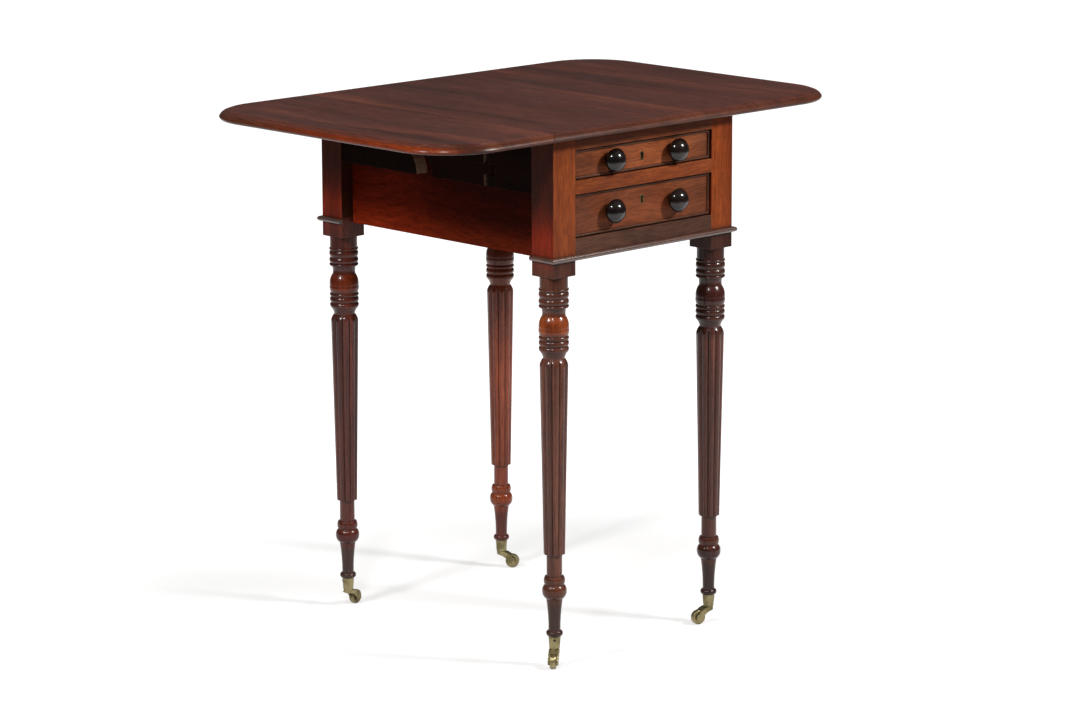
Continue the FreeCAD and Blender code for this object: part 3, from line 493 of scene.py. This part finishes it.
# which finish each CAD node wears; the first start that fits its name
wearing = {
    "fixed_top": "fixedTopWood", "leaf_left": "leftLeafWood", "leaf_right": "rightLeafWood",
    "leg_front_left": "frontLeftLegWood", "leg_front_right": "frontRightLegWood",
    "leg_rear_left": "rearLeftLegWood", "leg_rear_right": "rearRightLegWood",
    "caster_": "agedBrass", "hinge_": "hingeIron", "fly_pins": "hingeIron",
    "fly_": "flyWood", "side_apron": "sideWood",
    "front_bottom_rail": "bottomRailWood", "front_middle_rail": "middleRailWood",
    "front_top_rail": "topRailWood", "base_moulding": "mouldingWood",
    "rear_apron": "middleRailWood", "sham_beading": "beadWood", "sham_knobs": "ebonisedWood",
    "drawer_upper_front": "upperFrontWood", "drawer_lower_front": "lowerFrontWood",
    "drawer_upper_beading": "beadWood", "drawer_lower_beading": "beadWood",
    "drawer_upper_knobs": "ebonisedWood", "drawer_lower_knobs": "ebonisedWood",
    "drawer_upper_escutcheon": "lockBrass", "drawer_lower_escutcheon": "lockBrass",
    "drawer_upper_lock": "lockBrass", "drawer_lower_lock": "lockBrass",
    "drawer_": "insideWood",
}
for nodeName, node in cadNodes.items():
    finish = next(finishes[look] for start, look in wearing.items() if nodeName.startswith(start))
    for holder in node.material_slots:
        holder.material = finish
print("finishes put on", len(cadNodes), "nodes")

# fixings: slotted screw heads and hand-made nails, let in with the head just proud; sizes are shares of
# the head's radius, and the heads of a group are turned by degrees from one to the next
screwLook = {"steps": 12, "rings": (1.0, 0.8, 0.45), "dome": 0.08, "swell": 2, "slot": 0.14, "sink": 0.3,
             "floor": 0.12}
nailLook = {"facets": 5, "rows": ((0.9, -0.3), (1.0, 0.036), (0.86, 0.12)), "crown": (0.08, 0.05, 0.35)}
headTurn = {"first": 23.0, "step": 67.0}
perMetre = 1000  # the spots and radii of fixings are in millimetres


def screwHead(mesh, seat, radius):
    half = screwLook["slot"] * radius
    dome = screwLook["dome"] * radius
    deep = -screwLook["sink"] * radius
    for side in (1, -1):
        rim = [math.pi * step / screwLook["steps"] for step in range(screwLook["steps"] + 1)]
        rim = [(math.cos(t), max(screwLook["slot"], math.sin(t)) * side) for t in rim]
        rows = []
        for share in screwLook["rings"]:
            rise = dome * (screwLook["swell"] - share * share)
            row = [(x * radius * share, side * half + (y * radius - side * half) * share, rise) for x, y in rim]
            rows.append([mesh.verts.new(seat @ Vector(point)) for point in row])
        crown = mesh.verts.new(seat @ Vector((0, side * half, dome * screwLook["swell"])))
        foot = [mesh.verts.new(seat @ Vector((x * radius, y * radius, deep))) for x, y in rim]
        for upper, lower in ((rows[1], rows[0]), (rows[2], rows[1]), (rows[0], foot)):
            for i in range(len(rim) - 1):
                mesh.faces.new((lower[i], lower[i + 1], upper[i + 1], upper[i]))
        for i in range(len(rim) - 1):
            mesh.faces.new((rows[2][i], rows[2][i + 1], crown))
        start, end = [row[0] for row in rows], [row[-1] for row in rows[::-1]]
        mesh.faces.new(start + [crown] + end + [foot[-1], foot[0]])  # wall of the slot
    bed = -screwLook["floor"] * radius
    corners = ((-radius, -half, bed), (radius, -half, bed), (radius, half, bed), (-radius, half, bed))
    mesh.faces.new([mesh.verts.new(seat @ Vector(point)) for point in corners])


def nailHead(mesh, seat, radius):
    rows = []
    turns = [2 * math.pi * i / nailLook["facets"] for i in range(nailLook["facets"])]
    for share, height in nailLook["rows"]:
        ring = [Vector((math.cos(t) * share, math.sin(t) * share, height)) * radius for t in turns]
        rows.append([mesh.verts.new(seat @ point) for point in ring])
    crown = mesh.verts.new(seat @ (Vector(nailLook["crown"]) * radius))
    for i in range(len(turns)):
        j = (i + 1) % len(turns)
        for lower, upper in ((rows[0], rows[1]), (rows[1], rows[2])):
            mesh.faces.new((lower[i], lower[j], upper[j], upper[i]))
        mesh.faces.new((rows[2][i], rows[2][j], crown))


# puts one group of heads on a body; each spot is a place and the way the head looks
def addFixings(name, body, finish, shape, radius, spots):
    mesh = bmesh.new()
    for count, (point, outward) in enumerate(spots):
        facing = Vector(outward).to_track_quat("Z", "Y").to_matrix().to_4x4()
        turned = Matrix.Rotation(math.radians(headTurn["first"] + headTurn["step"] * count), 4, "Z")
        shape(mesh, Matrix.Translation(Vector(point) / perMetre) @ facing @ turned, radius / perMetre)
    bmesh.ops.recalc_face_normals(mesh, faces=mesh.faces)
    data = bpy.data.meshes.new(name)
    mesh.to_mesh(data)
    mesh.free()
    piece = addObject(name, data)
    data.materials.append(finishes[finish])
    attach(piece, body)


fixings = {
    "hingeRows": (-163, -150, -137, 137, 150, 163), "topFlapX": 172.0, "underside": 708.0, "hingeScrew": 2.6,
    "leafFlap": ((215, 13), (215, -13), (198, 0)), "leafFlapY": (-150, 150),
    "cupLevel": 36.0, "cupRadius": 7.95, "cupTilt": -0.1, "legX": 147.5, "legY": 206.5, "cupScrew": 1.7,
    "lockBack": -201.5, "lockX": 19.0, "lockScrew": 2.1,
    "lockLevels": {"drawer_upper": (667.6, 684.8), "drawer_lower": (609.6, 626.8)},
    "kickerX": 117.5, "kickerY": (-150, 10, 170), "kickerLevel": 690.0, "kickerScrew": 3.0,
    "nailY": 196.5, "nailX": (-92, -31, 33, 90), "nailRadius": 1.9,
    "nailLevels": {"drawer_upper": 656.3, "drawer_lower": 580.3},
}
sides = (-1, 1)
down = (0, 0, -1)
inward = (0, 1, 0)
topSpots = [((side * fixings["topFlapX"], y, fixings["underside"]), down)
            for side in sides for y in fixings["hingeRows"]]
addFixings("hinge_screws_top", "frame", "hingeIron", screwHead, fixings["hingeScrew"], topSpots)
for side, leaf in zip(sides, ("leaf_left", "leaf_right")):
    flapSpots = [((side * x, y + middle, fixings["underside"]), down)
                 for middle in fixings["leafFlapY"] for x, y in fixings["leafFlap"]]
    addFixings("hinge_screws_" + leaf, leaf, "hingeIron", screwHead, fixings["hingeScrew"],
               flapSpots)
reach = fixings["cupRadius"] * math.sqrt(0.5)
cupSpots = [((sx * (fixings["legX"] + reach), sy * (fixings["legY"] + reach), fixings["cupLevel"]),
             (sx, sy, fixings["cupTilt"])) for sy in sides for sx in sides]
addFixings("caster_cup_screws", "frame", "darkIron", screwHead, fixings["cupScrew"], cupSpots)
for drawer, levels in fixings["lockLevels"].items():
    lockSpots = [((side * fixings["lockX"], fixings["lockBack"], level), inward)
                 for side in sides for level in levels]
    addFixings(drawer + "_lock_screws", drawer, "darkIron", screwHead, fixings["lockScrew"],
               lockSpots)
    nailSpots = [((x, fixings["nailY"], fixings["nailLevels"][drawer]), down) for x in fixings["nailX"]]
    addFixings(drawer + "_nails", drawer, "darkIron", nailHead, fixings["nailRadius"], nailSpots)
kickerSpots = [((side * fixings["kickerX"], y, fixings["kickerLevel"]), down)
               for side in sides for y in fixings["kickerY"]]
addFixings("kicker_screws", "frame", "darkIron", screwHead, fixings["kickerScrew"], kickerSpots)
print("fixings added")

# floor: a sweep of pale paper that brightens away from the table
floorLook = {
    "size": 120.0, "drop": 0.0004, "shade": (176, 175, 174), "fleck": (180, 179, 178),
    "mottle": {"scale": 3.0, "detail": 3.0}, "rough": 0.9,
    "lift": 0.57, "farLift": 1.02, "near": 0.4, "far": 0.95,
    "run": (0.695, 0.719, 0), "across": (0.719, -0.695, 0),
    "half": 1.8, "fade": 0.7, "front": -0.7, "frontFade": 1.6,
}


def makeFloor():
    mesh = bpy.data.meshes.new("floor")
    half = floorLook["size"] / 2
    corners = [(-half, -half, 0), (half, -half, 0), (half, half, 0), (-half, half, 0)]
    mesh.from_pydata(corners, [], [(0, 1, 2, 3)])
    floor = addObject("floor", mesh)
    floor.location.z = -floorLook["drop"]
    material, tree, shader, where = newMaterial("floorPaper")
    spot = where["Object"]
    mottle = noise(tree, spot, **floorLook["mottle"])[0]
    tone = mixColour(tree, mottle, tint(*floorLook["shade"]), tint(*floorLook["fleck"]))
    tree.links.new(tone, shader.inputs["Base Color"])
    shader.inputs["Roughness"].default_value = floorLook["rough"]
    shader.inputs["Specular IOR Level"].default_value = 0.0
    # the sweep reads as white where it is seen, and lights the table only as plain paper
    seen = place(tree, "ShaderNodeLightPath").outputs
    distance = place(tree, "ShaderNodeVectorMath", {0: spot}, operation="LENGTH").outputs["Value"]
    lift = ease(tree, distance, floorLook["near"], floorLook["far"], floorLook["lift"], floorLook["farLift"])
    # polished faces mirror it only as far as the paper goes to the sides and in front
    along = dotProduct(tree, spot, floorLook["run"])
    aside = calc(tree, "ABSOLUTE", dotProduct(tree, spot, floorLook["across"]))
    aside = ease(tree, aside, floorLook["half"] + floorLook["fade"], floorLook["half"])
    ahead = ease(tree, along, floorLook["front"] - floorLook["frontFade"], floorLook["front"])
    mirrored = calc(tree, "MULTIPLY", seen["Is Glossy Ray"], calc(tree, "MULTIPLY", aside, ahead))
    direct = calc(tree, "MAXIMUM", seen["Is Camera Ray"], seen["Is Transmission Ray"])
    strength = calc(tree, "MULTIPLY", calc(tree, "MAXIMUM", direct, mirrored), lift)
    glow = place(tree, "ShaderNodeEmission", {"Color": (1, 1, 1, 1), "Strength": strength})
    both = place(tree, "ShaderNodeAddShader", {0: shader.outputs[0], 1: glow.outputs[0]})
    tree.links.new(both.outputs[0], tree.nodes["Material Output"].inputs["Surface"])
    mesh.materials.append(material)


makeFloor()

# lamps: a soft box to the left of the table and one in front, as the shadows of the feet show,
# with a small lamp between them that the knobs mirror, and a low even fill
lamps = {
    "leftBox": {"spot": (-1.9, -0.06, 1.75), "size": 0.4, "watts": 33.0},
    "rightBox": {"spot": (1.0, -1.9, 2.0), "size": 0.45, "watts": 64.0},
    "smallLamp": {"spot": (-1.6, -1.1, 2.2), "size": 0.28, "watts": 22.0},
}
aim = Vector((0, 0, 0.5))
for lampName, lamp in lamps.items():
    data = bpy.data.lights.new(lampName, "AREA")
    data.shape = "DISK"
    data.size = lamp["size"]
    data.energy = lamp["watts"]
    holder = addObject(lampName, data)
    holder.location = lamp["spot"]
    holder.rotation_euler = (aim - Vector(lamp["spot"])).to_track_quat("-Z", "Y").to_euler()

fill = {"horizon": 0.0, "zenith": 0.9, "low": 0.07, "high": 0.25}
world = bpy.data.worlds.new("studio")
world.use_nodes = True
bpy.context.scene.world = world
sky = world.node_tree
direction = sky.nodes.new("ShaderNodeTexCoord").outputs["Generated"]
upward = place(sky, "ShaderNodeSeparateXYZ", {0: direction}).outputs[2]
glow = ease(sky, upward, fill["horizon"], fill["zenith"], fill["low"], fill["high"])
sky.links.new(glow, sky.nodes["Background"].inputs["Strength"])
sky.nodes["Background"].inputs["Color"].default_value = (1, 1, 1, 1)

# camera, fitted to the photograph by the legs, posts and the outline of the top
lens = {"spot": (-3.7023, -3.8615, 1.5115), "turn": 44.0, "dip": 12.135, "roll": -0.173, "length": 133.33,
        "sensor": 36.0, "reach": 200.0}
camera = addObject("camera", bpy.data.cameras.new("camera"))
camera.data.sensor_width = lens["sensor"]
camera.data.lens = lens["length"]
camera.data.clip_end = lens["reach"]
camera.matrix_world = (Matrix.Translation(lens["spot"]) @ Matrix.Rotation(math.radians(-lens["turn"]), 4, "Z")
                       @ Matrix.Rotation(math.radians(90 - lens["dip"]), 4, "X")
                       @ Matrix.Rotation(math.radians(lens["roll"]), 4, "Z"))
bpy.context.scene.camera = camera
bpy.context.scene.view_settings.view_transform = "Standard"
print("floor, lamps and camera placed")
